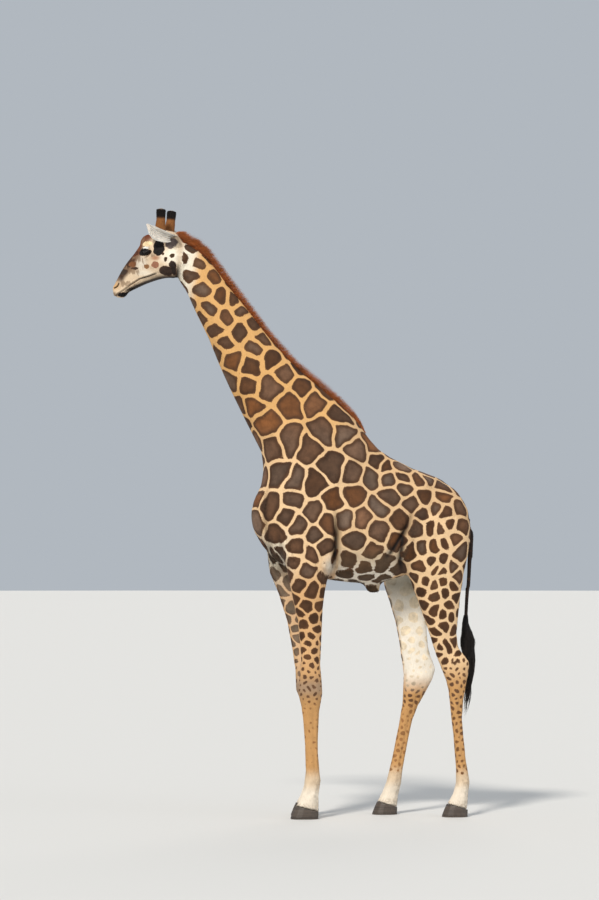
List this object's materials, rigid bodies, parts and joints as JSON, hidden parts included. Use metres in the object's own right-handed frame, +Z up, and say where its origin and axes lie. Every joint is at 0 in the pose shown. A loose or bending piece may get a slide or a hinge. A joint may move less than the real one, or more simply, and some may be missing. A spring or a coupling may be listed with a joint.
{
  "type": "giraffe",
  "caption": "Life-size still model of a standing adult bull giraffe, long neck rising forward, head turned to its right, near hind leg set back.",
  "frame": {"origin": "on the floor, under the middle of the bounding box", "axes": "+Z up; the animal faces -X and its left side is at -Y; metres"},
  "size_m": [2.9114, 0.7738, 4.8555],
  "materials": {
    "coat": "short flat hair, dark brown patches on orange-tan to cream",
    "ear": "short white and cream hair",
    "mane_hair": "stiff upright reddish-brown hair",
    "dark_hair": "long black hair",
    "horn": "dull brown-grey horn; the ossicones are haired skin over bone",
    "eye": "wet dark brown"
  },
  "bodies": {
    "root": {"head": "coat", "lower_jaw": "coat", "neck_upper": "coat", "neck_middle": "coat", "neck_lower": "coat", "trunk": "coat", "tail": "coat", "tail_tuft": "dark_hair", "mane": "mane_hair", "ear_left": "ear", "ear_right": "ear", "eye_left": "eye", "eye_right": "eye", "ossicone_left": "horn", "ossicone_right": "horn", "fore_left_upper_leg": "coat", "fore_left_cannon": "coat", "fore_left_foot": "coat", "fore_left_hoof_inner": "horn", "fore_left_hoof_outer": "horn", "fore_right_upper_leg": "coat", "fore_right_cannon": "coat", "fore_right_foot": "coat", "fore_right_hoof_inner": "horn", "fore_right_hoof_outer": "horn", "hind_left_upper_leg": "coat", "hind_left_cannon": "coat", "hind_left_foot": "coat", "hind_left_hoof_inner": "horn", "hind_left_hoof_outer": "horn", "hind_right_upper_leg": "coat", "hind_right_cannon": "coat", "hind_right_foot": "coat", "hind_right_hoof_inner": "horn", "hind_right_hoof_outer": "horn"}
  },
  "joints": []
}
